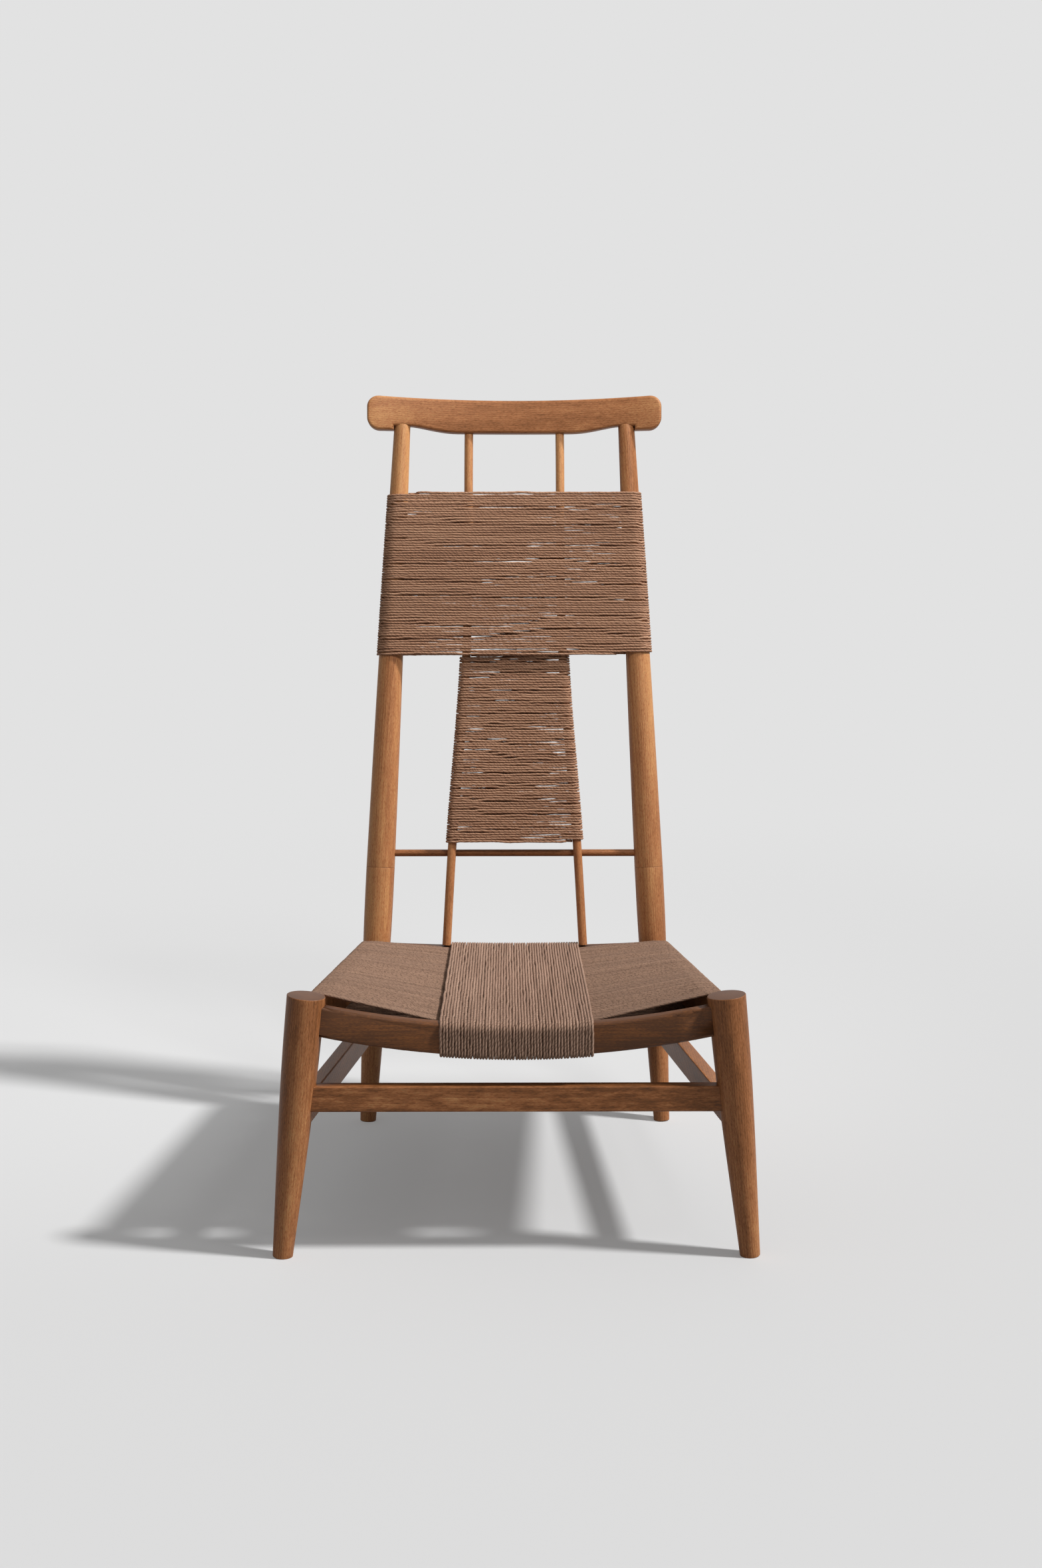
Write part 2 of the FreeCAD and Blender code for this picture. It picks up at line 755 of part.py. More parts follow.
windings = {
    "upper_back_cord": make_back_winding(
        upper_cord_low, upper_cord_high, upper_cord_turns, post_half, post_radius, flat_plane),
    "lower_back_cord": make_back_winding(
        lower_cord_low, lower_cord_high, lower_cord_turns, spindle_half, spindle_radius, spindle_w),
    "seat_cross_cord": make_cross_winding(),
    "seat_band_cord": make_band_winding()}

nodes = {
    "crest_rail": make_crest(),
    "back_dowel": back_dowel(),
    "front_seat_rail": front_rail,
    "rear_seat_rail": rear_rail,
    "front_stretcher": front_stretcher}
for name, left in (
        ("front_leg", front_leg), ("rear_leg", rear_leg), ("back_post", make_back_post()),
        ("post_dowel", post_dowel()), ("spindle", make_spindle()),
        ("side_seat_rail", side_rail), ("side_stretcher", side_stretcher)):
    nodes[name + "_left"], nodes[name + "_right"] = pair(left)
for name, (path, solid) in windings.items():
    nodes[name] = solid
    print(name, "length", round(path.Length), "least gap to itself", round(least_gap(path), 2))

# The origin is on the floor, under the middle of the whole
ends = [nodes["crest_rail"].optimalBoundingBox(), nodes["front_leg_left"].optimalBoundingBox()]
middle = (min(b.YMin for b in ends) + max(b.YMax for b in ends)) / 2
os.makedirs("parts", exist_ok=True)
for name, solid in nodes.items():
    solid.translate(Vector(0, -middle, 0))
    solid.exportStep(os.path.join("parts", name + ".step"))
    print(name, solid.isValid(), len(solid.Solids), round(solid.Volume), len(solid.Faces))
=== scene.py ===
import math

import bmesh
import bpy
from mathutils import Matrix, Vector


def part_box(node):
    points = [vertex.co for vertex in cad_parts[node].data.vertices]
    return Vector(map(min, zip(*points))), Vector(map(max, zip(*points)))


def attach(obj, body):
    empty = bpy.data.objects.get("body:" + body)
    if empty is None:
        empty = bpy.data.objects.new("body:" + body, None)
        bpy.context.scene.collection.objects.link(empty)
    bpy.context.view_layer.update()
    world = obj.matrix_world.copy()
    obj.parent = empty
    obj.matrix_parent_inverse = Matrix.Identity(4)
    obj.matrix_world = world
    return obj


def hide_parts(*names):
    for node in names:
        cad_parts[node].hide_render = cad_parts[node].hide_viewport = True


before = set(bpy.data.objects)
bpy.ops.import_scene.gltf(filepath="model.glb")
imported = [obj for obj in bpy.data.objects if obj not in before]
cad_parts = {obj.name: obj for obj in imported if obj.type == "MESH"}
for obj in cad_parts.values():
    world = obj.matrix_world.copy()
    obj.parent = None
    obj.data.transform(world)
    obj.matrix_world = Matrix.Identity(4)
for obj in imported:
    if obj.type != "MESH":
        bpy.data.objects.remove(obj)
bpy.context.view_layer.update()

# Low wooden lounge chair: turned legs, a tall tapered back, and cord wound on back and seat.
# The chair's own sizes are in millimetres, as its maker would write them, and MM turns them
# into Blender's metres. The sitter faces -Y, so the sitter's left is at +X.

MM = 0.001
FULL_TURN = 2 * math.pi

# Front legs, turned, splayed sideways
feet_line = -369.216
front_foot_spread = 622.8
front_leg_top_spread = 549.9
front_leg_height = 356.0
front_leg_dia = 50.8
front_leg_profile = [(0.0, 0.53), (0.62, 0.905), (0.80, 0.968), (1.0, 1.0)]

# Rear legs, and the back posts that carry on from them, turned, leaning back
stance_depth = 598.0
rear_foot_spread = 470.6
back_lean = 7.0
rear_leg_length = 407.0
back_post_length = 703.0
post_top_spread = 355.6
seam_dia = 45.2
rear_leg_profile = [(0.0, 0.553), (0.62, 0.93), (0.78, 0.987), (1.0, 1.0)]
back_post_profile = [(0.0, 1.0), (0.45, 0.861), (1.0, 0.565)]
back_length = rear_leg_length + back_post_length

# Ends of the turned pieces: how far each is rounded over, and how far a foot runs past its saw cut
foot_round = 2.2
front_leg_top_round = 1.2
post_end_round = 0.7
foot_waste = 1.0

# Crest rail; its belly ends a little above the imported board's, and the sweep to it starts slowly
crest_half = 232.8
crest_thick = 25.0
crest_bend = 22.8
crest_rise = 38.8
crest_end_rise = 6.5
crest_belly_drop = 13.7
crest_belly_lift = 1.0
crest_seat_drop = 2.5
crest_ear_drop = 9.2
crest_sweep = 76.0
crest_sweep_power = 1.35
crest_corner_round = 19.0
crest_edge = 4.5

# Spindles and back dowel
spindle_dia = 13.7
spindle_foot_spread = 217.0
spindle_low_spread = 198.0
spindle_high_spread = 153.5
spindle_top_spread = 144.8
spindle_foot_lift = 1.0
spindle_into_crest = 4.0
back_dowel_dia = 11.0
back_dowel_height = rear_leg_length + 21.9
rod_gap = 0.3

# Seat rails
front_rail_thick = 22.0
front_rail_height = 41.1
front_rail_top = 316.5
front_rail_sag = 31.6
front_rail_front = -12.0
side_rail_thick = 22.0
side_rail_height = 49.5
side_rail_front_top = 349.8
side_rail_rear_top = 285.2
side_rail_inset = 12.5
side_rail_outset = 8.0
rear_rail_thick = 23.0
rear_rail_drop = 5.2
rear_rail_sag = 6.0
rear_rail_before_spindle = 7.5

# Twisted paper cord of two strands, and the gap between it and what it is wound on
cord_dia = 3.9
cord_lay = 15.0
cord_groove = 0.14
cord_gap = 0.3
wrap = cord_dia / 2 + cord_gap

# The windings: where each starts and ends, and the real number of its turns
upper_low, upper_high, upper_turns = 746.6, 1001.0, 62
lower_low, lower_high, lower_turns = 448.4, 743.4, 72
cross_front, cross_turns = 32.0, 130
band_width, band_turns = 202.0, 50

# Bends of the windings, and how their ends are tucked in
rail_edge = 4.0
rod_bend_share = 0.97
cross_dip_bend = 120.0
band_seat_bend = 60.0
band_front_bend = 9.0
back_end_run = 5.0
seat_end_share = 0.3

# How uneven they are: the length over which a turn strays, how many bundles a seam between
# bundles wanders, how many cords wide it is, by how many twists the lay slips, and how far
# apart the seeds of a winding's parts are
stray_length = 50.0
seam_wander = 2.4
seam_width = 1.1
lay_slip = 3.0
part_seed = 40.0

# Fineness of the meshes
leg_sides, rod_sides = 48, 24
leg_steps, rod_steps, round_steps = 40, 40, 6
crest_wide_step, crest_wide_columns = 6.0, 16
crest_close_step, crest_close_columns = 3.0, 32
crest_corner_steps, crest_edge_steps = 12, 5
cord_ring_points, cord_ring_spacing, cord_bend_steps = 7, 2.6, 8

# Points nearer than this are one point, faces that meet flatter than this, in degrees, are one
# face, and edges sharper than this, in degrees, stay sharp
cord_merge, planed_merge, crest_merge = 0.002, 0.01, 0.02
flat_angle = 0.5
turned_sharp, planed_sharp, crest_sharp = 40, 32, 50

# Studio, in metres and Blender's own units; the camera stands before the chair, a little lower
# than the crest, and looks down and a little to its right
studio_grey = "#E2E2E2"
floor_reach = 30.0
fade_near, fade_far, fade_near_share = 1.3, 3.4, 0.2
air_strength = 0.25
camera_spot = (-0.012, -3.1442, 1.055)
camera_down, camera_turn = 8.6, -0.37
camera_lens, camera_film = 50.0, 36.0


def mix(a, b, share):
    """What lies at a share of the way from a to b."""
    return a + (b - a) * share


def arc_rise(x, half, sag):
    """How far above its lowest point an arc has climbed at x."""
    radius = (half ** 2 + sag ** 2) / (2 * sag)
    return radius - math.sqrt(radius ** 2 - x ** 2)


def smoothed(profile, share):
    """The second value of a profile at a share, read along one fair curve through its stations."""
    for i in range(len(profile) - 1):
        if share <= profile[i + 1][0]:
            break
    s0, r0 = profile[i]
    s1, r1 = profile[i + 1]
    slopes = [(b[1] - a[1]) / (b[0] - a[0]) for a, b in zip(profile, profile[1:])]
    ends = [slopes[0]] + [(a + b) / 2 for a, b in zip(slopes, slopes[1:])] + [slopes[-1]]
    t = (share - s0) / (s1 - s0)
    step = s1 - s0
    return (r0 * (2 * t ** 3 - 3 * t ** 2 + 1) + ends[i] * step * (t ** 3 - 2 * t ** 2 + t)
            + r1 * (3 * t ** 2 - 2 * t ** 3) + ends[i + 1] * step * (t ** 3 - t ** 2))


def sides(name):
    """A left and a right piece: the name's ending and the sign of X."""
    return ((name + "_left", 1), (name + "_right", -1))


# Lines that the legs, the back and the rails follow

lean = math.radians(back_lean)


def on_back(u, v, w=0.0):
    """A place on the leaning back: u sideways, v up along it from the floor, w behind it."""
    y = stance_depth + feet_line + v * math.sin(lean) + w * math.cos(lean)
    return Vector((u, y, v * math.cos(lean) - w * math.sin(lean)))


def on_seat(x, y, z):
    """A place given from the line of the front feet."""
    return Vector((x, y + feet_line, z))


def post_half(v):
    """Half the distance between the axes of the posts, which carry on down as the rear legs."""
    return mix(rear_foot_spread, post_top_spread, v / back_length) / 2


def post_radius(v):
    return smoothed(back_post_profile, (v - rear_leg_length) / back_post_length) * seam_dia / 2


def front_leg_x(z):
    return mix(front_foot_spread, front_leg_top_spread, z / front_leg_height) / 2


crest_radius = (crest_half ** 2 + crest_bend ** 2) / (2 * crest_bend)
crest_middle_w = arc_rise(post_top_spread / 2, crest_half, crest_bend)
crest_notch = post_top_spread / 2 + post_radius(back_length)
spindle_top = (spindle_top_spread / 2,
               crest_middle_w - arc_rise(spindle_top_spread / 2, crest_half, crest_bend),
               back_length - crest_belly_drop)
spindle_at_dowel = -(back_dowel_dia / 2 + spindle_dia / 2 + rod_gap)
spindle_slope = (spindle_top[1] - spindle_at_dowel) / (spindle_top[2] - back_dowel_height)


def spindle_w(v):
    """How far behind the posts' plane a spindle is, kept just in front of the back dowel."""
    return spindle_at_dowel + (v - back_dowel_height) * spindle_slope


rear_rail_top = side_rail_rear_top - rear_rail_drop
spindle_foot_v = rear_rail_top / math.cos(lean)
spindle_spreads = [(spindle_foot_v, spindle_foot_spread), (lower_low, spindle_low_spread),
                   (lower_high, spindle_high_spread), (spindle_top[2], spindle_top_spread)]


def spindle_half(v):
    """Half the distance between the spindles, which the cord of the lower panel draws together."""
    return smoothed(spindle_spreads, v) / 2


side_rear_y = on_back(0, side_rail_rear_top / math.cos(lean)).y - feet_line
side_slope = (side_rail_rear_top - side_rail_front_top) / side_rear_y
side_half_rise = side_rail_height / 2 / math.cos(math.atan(side_slope))
side_rear_mid_v = (side_rail_rear_top - side_half_rise) / math.cos(lean)
side_rear_mid_y = on_back(0, side_rear_mid_v).y - feet_line
side_front_x = front_leg_x(side_rail_front_top - side_half_rise) - side_rail_inset
side_rear_x = post_half(side_rear_mid_v) + side_rail_outset


def side_rail_x(y):
    return mix(side_front_x, side_rear_x, y / side_rear_mid_y)


def side_rail_top(y):
    return side_rail_front_top + side_slope * y


front_rail_half = front_leg_x(front_rail_top)
front_rail_back = front_rail_front + front_rail_thick
spindle_foot_y = on_back(0, spindle_foot_v, spindle_w(spindle_foot_v)).y - feet_line
rear_rail_front = spindle_foot_y - rear_rail_before_spindle
rear_rail_back = rear_rail_front + rear_rail_thick
rear_rail_half = post_half(spindle_foot_v)
rear_rail_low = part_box("rear_seat_rail")[0].z / MM


# Materials

def linear(hex_colour):
    """An sRGB hex colour as the linear values that Blender wants."""
    parts = [int(hex_colour[i:i + 2], 16) / 255 for i in (1, 3, 5)]
    return [c / 12.92 if c <= 0.04045 else ((c + 0.055) / 1.055) ** 2.4 for c in parts] + [1.0]


def add(tree, kind, inputs=None, stops=None, **settings):
    """A node with its settings; an input is a constant or another node's output."""
    made = tree.nodes.new(kind)
    for name, value in settings.items():
        setattr(made, name, value)
    for key, value in (inputs or {}).items():
        if isinstance(value, bpy.types.NodeSocket):
            tree.links.new(value, made.inputs[key])
        else:
            made.inputs[key].default_value = value
    if stops:
        ramp = made.color_ramp
        while len(ramp.elements) < len(stops):
            ramp.elements.new(0.5)
        for element, (place, colour) in zip(ramp.elements, stops):
            element.position = place
            element.color = linear(colour)
    return made


def new_material(name):
    material = bpy.data.materials.new(name)
    material.use_nodes = True
    material.node_tree.nodes.clear()
    return material, material.node_tree


def oiled_oak(name, grain, heart, tone=0.0, figure=0.12):
    """Oiled oak, turned or planed and rubbed down: satin, with growth bands and fine open pores.

    grain is the way the tree grew, and heart puts the tree's middle some way off, in metres,
    so that the bands come out as long flames on a face and as fine lines on an edge. tone makes
    the whole piece lighter or darker, and figure is how strongly the rays, cut nearly along
    their length, show as short pale and dark blocks.
    """
    material, tree = new_material(name)
    turn = Vector(grain).rotation_difference(Vector((0, 0, 1))).to_euler()
    place = add(tree, "ShaderNodeTexCoord").outputs["Object"]
    along = add(tree, "ShaderNodeMapping", {
        "Vector": place, "Rotation": turn, "Location": heart}).outputs[0]
    # Growth bands 3.2 mm apart, drifting by some millimetres over a hand's length; the wave
    # texture draws its rings 0.314 / Scale apart
    slow = add(tree, "ShaderNodeVectorMath", {0: along, 1: (1, 1, 0.10)}, operation="MULTIPLY").outputs[0]
    bands = add(tree, "ShaderNodeTexWave", {
        "Vector": slow, "Scale": 0.314 / (3.2 * MM), "Distortion": 9.0, "Detail": 2.0,
        "Detail Scale": 0.10, "Detail Roughness": 0.6},
        wave_type="RINGS", rings_direction="Z", wave_profile="SAW").outputs["Fac"]
    # Fibres about 0.7 mm wide and 15 mm long
    fine = add(tree, "ShaderNodeVectorMath", {0: along, 1: (1, 1, 0.05)}, operation="MULTIPLY").outputs[0]
    fibres = add(tree, "ShaderNodeTexNoise", {
        "Vector": fine, "Scale": 1 / (1.5 * MM), "Detail": 3.0, "Roughness": 0.65}).outputs["Fac"]
    # Open pores, drawn 0.7 mm wide so that they show, 4 mm long
    short = add(tree, "ShaderNodeVectorMath", {0: along, 1: (1, 1, 0.18)}, operation="MULTIPLY").outputs[0]
    spots = add(tree, "ShaderNodeTexNoise", {
        "Vector": short, "Scale": 1 / (0.9 * MM), "Detail": 1.0, "Roughness": 0.5}).outputs["Fac"]
    pores = add(tree, "ShaderNodeMapRange", {
        "Value": spots, "From Min": 0.58, "From Max": 0.72, "To Max": 0.45}).outputs[0]
    # Ray figure in blocks 5 mm high and 20 mm long
    blocks = add(tree, "ShaderNodeVectorMath", {0: along, 1: (1, 1, 0.25)}, operation="MULTIPLY").outputs[0]
    rays = add(tree, "ShaderNodeTexNoise", {
        "Vector": blocks, "Scale": 1 / (9 * MM), "Detail": 3.0, "Roughness": 0.7}).outputs["Fac"]
    # Clouds of a hand's width, from how the oil was taken up
    clouds = add(tree, "ShaderNodeTexNoise", {
        "Vector": slow, "Scale": 1 / (45 * MM), "Detail": 2.0}).outputs["Fac"]
    # Each pattern's share in how light the wood is
    light = tone - 0.27 - figure / 2
    for pattern, share in ((bands, 0.09), (fibres, 0.30), (clouds, 0.65), (spots, 0.50), (rays, figure)):
        light = add(tree, "ShaderNodeMath", {
            0: pattern, 1: share, 2: light}, operation="MULTIPLY_ADD").outputs[0]
    colour = add(tree, "ShaderNodeValToRGB", {"Fac": light}, stops=[
        (0.22, "#58361E"), (0.42, "#82502A"), (0.58, "#A96D43"), (0.80, "#D09963")]).outputs["Color"]
    colour = add(tree, "ShaderNodeMix", {
        0: pores, 6: colour, 7: linear("#4E301C")}, data_type="RGBA").outputs[2]
    # Sawn across, the pores soak up more oil and dust, and the wood goes grey
    face = add(tree, "ShaderNodeNewGeometry").outputs["Normal"]
    across = add(tree, "ShaderNodeVectorMath", {0: face, 1: grain}, operation="DOT_PRODUCT").outputs["Value"]
    across = add(tree, "ShaderNodeMath", {0: across}, operation="ABSOLUTE").outputs[0]
    across = add(tree, "ShaderNodeMapRange", {
        "Value": across, "From Min": 0.7, "From Max": 0.95, "To Max": 0.85}).outputs[0]
    colour = add(tree, "ShaderNodeMix", {
        0: across, 6: colour, 7: linear("#553C2E")}, data_type="RGBA").outputs[2]
    gloss = add(tree, "ShaderNodeMapRange", {
        "Value": fibres, "To Min": 0.42, "To Max": 0.58}).outputs[0]
    relief = add(tree, "ShaderNodeMath", {0: pores, 1: -1.2, 2: fibres}, operation="MULTIPLY_ADD").outputs[0]
    bump = add(tree, "ShaderNodeBump", {"Height": relief, "Strength": 0.15, "Distance": 0.2 * MM}).outputs[0]
    # The oil has sunk in, so the IOR is below that of a film of it, to match the weak gloss
    skin = add(tree, "ShaderNodeBsdfPrincipled", {
        "Base Color": colour, "Roughness": gloss, "IOR": 1.36, "Normal": bump})
    add(tree, "ShaderNodeOutputMaterial", {"Surface": skin.outputs[0]})
    return material


def paper_cord(name, stops, groove_shade=0.40):
    """Unbleached paper cord, two strands laid together: dry and matt, with painted shade darkening the
    slanting grooves between the strands.

    The last argument is how much painted shade darkens the cord in the hollows between its strands.
    """
    material, tree = new_material(name)
    lay = add(tree, "ShaderNodeUVMap", uv_map="lay").outputs[0]
    split = add(tree, "ShaderNodeSeparateXYZ", {0: lay}).outputs
    place = add(tree, "ShaderNodeTexCoord").outputs["Object"]
    # The two grooves, half a turn apart, where painted shade darkens the cord
    swing = add(tree, "ShaderNodeMath", {0: split["Y"], 1: split["X"]}, operation="SUBTRACT").outputs[0]
    swing = add(tree, "ShaderNodeMath", {0: swing, 1: FULL_TURN}, operation="MULTIPLY").outputs[0]
    swing = add(tree, "ShaderNodeMath", {0: swing}, operation="COSINE").outputs[0]
    strand = add(tree, "ShaderNodeMath", {0: swing}, operation="ABSOLUTE").outputs[0]
    strand = add(tree, "ShaderNodeMapRange", {"Value": strand, "From Max": 0.55},
                 interpolation_type="SMOOTHSTEP").outputs[0]
    # Each length of some 0.4 m has its own shade
    shade = add(tree, "ShaderNodeTexNoise", {
        "W": split["X"], "Scale": cord_lay / 400, "Detail": 2.0, "Roughness": 0.6},
        noise_dimensions="1D").outputs["Fac"]
    # Creases of the rolled paper run with the strand, about 0.6 mm apart
    drawn = add(tree, "ShaderNodeVectorMath", {0: lay, 1: (1.6, 12.0, 0.0)}, operation="MULTIPLY").outputs[0]
    creases = add(tree, "ShaderNodeTexNoise", {
        "Vector": drawn, "Scale": 1.0, "Detail": 3.0, "Roughness": 0.6, "Distortion": 0.6}).outputs["Fac"]
    # Specks of the pulp, about 1 mm wide
    specks = add(tree, "ShaderNodeTexNoise", {
        "Vector": place, "Scale": 1 / (2.2 * MM), "Detail": 2.0, "Roughness": 0.6}).outputs["Fac"]
    light = -0.28
    for pattern, share in ((shade, 0.55), (creases, 0.45), (specks, 0.45), (strand, groove_shade)):
        light = add(tree, "ShaderNodeMath", {
            0: pattern, 1: share, 2: light}, operation="MULTIPLY_ADD").outputs[0]
    # The strands' own lightness stays about the same, however dark the painted shade in the grooves is
    light = add(tree, "ShaderNodeMath", {0: light, 1: 0.95 * groove_shade - 0.20}, operation="SUBTRACT").outputs[0]
    colour = add(tree, "ShaderNodeValToRGB", {"Fac": light}, stops=stops).outputs["Color"]
    height = add(tree, "ShaderNodeMath", {
        0: creases, 1: 0.25, 2: strand}, operation="MULTIPLY_ADD").outputs[0]
    bump = add(tree, "ShaderNodeBump", {"Height": height, "Strength": 0.7, "Distance": 0.45 * MM}).outputs[0]
    skin = add(tree, "ShaderNodeBsdfPrincipled", {
        "Base Color": colour, "Roughness": 0.85, "IOR": 1.45, "Normal": bump})
    add(tree, "ShaderNodeOutputMaterial", {"Surface": skin.outputs[0]})
    return material


def seen_directly(tree):
    """1 for what the camera sees, itself or in a gloss or through glass, and 0 for light on its way."""
    ray = add(tree, "ShaderNodeLightPath").outputs
    seen = add(tree, "ShaderNodeMath", {
        0: ray["Is Camera Ray"], 1: ray["Is Glossy Ray"]}, operation="MAXIMUM").outputs[0]
    return add(tree, "ShaderNodeMath", {
        0: seen, 1: ray["Is Transmission Ray"]}, operation="MAXIMUM").outputs[0]


def painted_floor(name):
    """Matt grey studio paint, which shows shadows round the chair and fades into the air further off."""
    material, tree = new_material(name)
    seen = seen_directly(tree)
    paint = add(tree, "ShaderNodeMix", {
        0: seen, 6: linear("#808080"), 7: linear("#D8D8D8")}, data_type="RGBA").outputs[2]
    skin = add(tree, "ShaderNodeBsdfPrincipled", {"Base Color": paint, "Roughness": 0.9})
    glow = add(tree, "ShaderNodeEmission", {"Color": linear(studio_grey), "Strength": 1.0})
    place = add(tree, "ShaderNodeTexCoord").outputs["Object"]
    away = add(tree, "ShaderNodeVectorMath", {0: place}, operation="LENGTH").outputs["Value"]
    rise = add(tree, "ShaderNodeMapRange", {
        "Value": away, "From Min": fade_near, "From Max": fade_far, "To Min": fade_near_share, "To Max": 1.0},
        interpolation_type="SMOOTHSTEP").outputs[0]
    share = add(tree, "ShaderNodeMath", {0: seen, 1: rise}, operation="MULTIPLY").outputs[0]
    both = add(tree, "ShaderNodeMixShader", {0: share, 1: skin.outputs[0], 2: glow.outputs[0]})
    add(tree, "ShaderNodeOutputMaterial", {"Surface": both.outputs[0]})
    return material


# Trees that sweep a piece along its path

def new_tree(name, sockets):
    tree = bpy.data.node_groups.new(name, "GeometryNodeTree")
    for label, kind in sockets:
        tree.interface.new_socket(label, in_out="INPUT", socket_type=kind)
    tree.interface.new_socket("Geometry", in_out="OUTPUT", socket_type="NodeSocketGeometry")
    return tree, add(tree, "NodeGroupInput").outputs


def cord_tree():
    """Cord laid along a path: a tube whose two strands' grooves wind round it."""
    tree, given = new_tree("laid_cord", [
        ("Path", "NodeSocketGeometry"), ("Diameter", "NodeSocketFloat"), ("Groove", "NodeSocketFloat"),
        ("Lay", "NodeSocketFloat"), ("Ring Spacing", "NodeSocketFloat"), ("Side By Side", "NodeSocketVector"),
        ("Stray", "NodeSocketFloat"), ("Stray Length", "NodeSocketFloat"), ("Gape", "NodeSocketFloat"),
        ("Bundle", "NodeSocketFloat"), ("Zone", "NodeSocketFloat"), ("Wander", "NodeSocketVector"),
        ("Seed", "NodeSocketFloat"), ("Material", "NodeSocketMaterial")])
    bend = add(tree, "GeometryNodeInputRadius").outputs[0]
    path = add(tree, "GeometryNodeFilletCurve", {
        "Curve": given["Path"], "Count": cord_bend_steps, "Radius": bend, "Limit Radius": True},
        mode="POLY").outputs[0]
    path = add(tree, "GeometryNodeResampleCurve", {
        "Curve": path, "Length": given["Ring Spacing"]}, mode="LENGTH").outputs[0]
    length = add(tree, "GeometryNodeSplineParameter").outputs["Length"]
    # Every turn strays a little along its rod, and drifts on its way across
    where = add(tree, "ShaderNodeMath", {0: length, 1: given["Stray Length"]}, operation="DIVIDE").outputs[0]
    where = add(tree, "ShaderNodeMath", {0: where, 1: given["Seed"]}).outputs[0]
    noise = add(tree, "ShaderNodeTexNoise", {"W": where, "Scale": 1.0, "Detail": 3.0, "Roughness": 0.55},
                noise_dimensions="1D").outputs["Fac"]
    noise = add(tree, "ShaderNodeMath", {0: noise, 1: 0.5}, operation="SUBTRACT").outputs[0]
    stray = add(tree, "ShaderNodeMath", {0: noise, 1: given["Stray"]}, operation="MULTIPLY").outputs[0]
    # Turns lie in tight bundles and gape where two bundles meet, along a seam that wanders. Rank is
    # a turn's place in its bundle: across the bundle the push falls from half a gape to minus half,
    # which draws its turns together, and within the seam's zone it climbs back
    spot = add(tree, "GeometryNodeInputPosition").outputs[0]
    rank = add(tree, "ShaderNodeVectorMath", {
        0: spot, 1: given["Side By Side"]}, operation="DOT_PRODUCT").outputs["Value"]
    rank = add(tree, "ShaderNodeMath", {0: rank, 1: given["Bundle"]}, operation="DIVIDE").outputs[0]
    slow = add(tree, "ShaderNodeVectorMath", {0: spot, 1: given["Wander"]}, operation="MULTIPLY").outputs[0]
    drift = add(tree, "ShaderNodeTexNoise", {
        "Vector": slow, "Scale": 1.0, "Detail": 2.0, "Roughness": 0.5}).outputs["Fac"]
    rank = add(tree, "ShaderNodeMath", {
        0: drift, 1: seam_wander, 2: rank}, operation="MULTIPLY_ADD").outputs[0]
    rank = add(tree, "ShaderNodeMath", {0: rank}, operation="FRACT").outputs[0]
    tight = add(tree, "ShaderNodeMath", {0: 1.0, 1: given["Zone"]}, operation="SUBTRACT").outputs[0]
    tight = add(tree, "ShaderNodeMath", {0: rank, 1: tight}, operation="DIVIDE").outputs[0]
    rest = add(tree, "ShaderNodeMath", {0: 1.0, 1: rank}, operation="SUBTRACT").outputs[0]
    loose = add(tree, "ShaderNodeMath", {0: rest, 1: given["Zone"]}, operation="DIVIDE").outputs[0]
    push = add(tree, "ShaderNodeMath", {0: tight, 1: loose}, operation="MINIMUM").outputs[0]
    push = add(tree, "ShaderNodeMath", {0: 0.5, 1: push}, operation="SUBTRACT").outputs[0]
    stray = add(tree, "ShaderNodeMath", {
        0: push, 1: given["Gape"], 2: stray}, operation="MULTIPLY_ADD").outputs[0]
    stray = add(tree, "ShaderNodeVectorMath", {
        0: given["Side By Side"], "Scale": stray}, operation="SCALE").outputs[0]
    path = add(tree, "GeometryNodeSetPosition", {"Geometry": path, "Offset": stray}).outputs[0]
    # Full twists up to each place, never quite in step with the turn beside it
    slip = add(tree, "ShaderNodeMath", {0: noise, 1: lay_slip}, operation="MULTIPLY").outputs[0]
    twists = add(tree, "ShaderNodeMath", {0: length, 1: given["Lay"]}, operation="DIVIDE").outputs[0]
    twists = add(tree, "ShaderNodeMath", {0: twists, 1: slip}).outputs[0]
    path = add(tree, "GeometryNodeStoreNamedAttribute", {
        "Geometry": path, "Name": "twists", "Value": twists}, data_type="FLOAT", domain="POINT").outputs[0]
    # The outline is a ring cut open, so that its last point can count a whole turn
    half = add(tree, "ShaderNodeMath", {0: given["Diameter"], 1: 0.5}, operation="MULTIPLY").outputs[0]
    ring = add(tree, "GeometryNodeCurveArc", {
        "Resolution": cord_ring_points, "Radius": half, "Start Angle": 0.0,
        "Sweep Angle": FULL_TURN}).outputs["Curve"]
    share = add(tree, "GeometryNodeSplineParameter").outputs["Factor"]
    ring = add(tree, "GeometryNodeStoreNamedAttribute", {
        "Geometry": ring, "Name": "around", "Value": share}, data_type="FLOAT", domain="POINT").outputs[0]
    skin = add(tree, "GeometryNodeCurveToMesh", {
        "Curve": path, "Profile Curve": ring, "Scale": 1.0}).outputs[0]
    twists = add(tree, "GeometryNodeInputNamedAttribute", {"Name": "twists"}, data_type="FLOAT").outputs[0]
    around = add(tree, "GeometryNodeInputNamedAttribute", {"Name": "around"}, data_type="FLOAT").outputs[0]
    both = add(tree, "ShaderNodeCombineXYZ", {"X": twists, "Y": around}).outputs[0]
    skin = add(tree, "GeometryNodeStoreNamedAttribute", {
        "Geometry": skin, "Name": "lay", "Value": both}, data_type="FLOAT2", domain="CORNER").outputs[0]
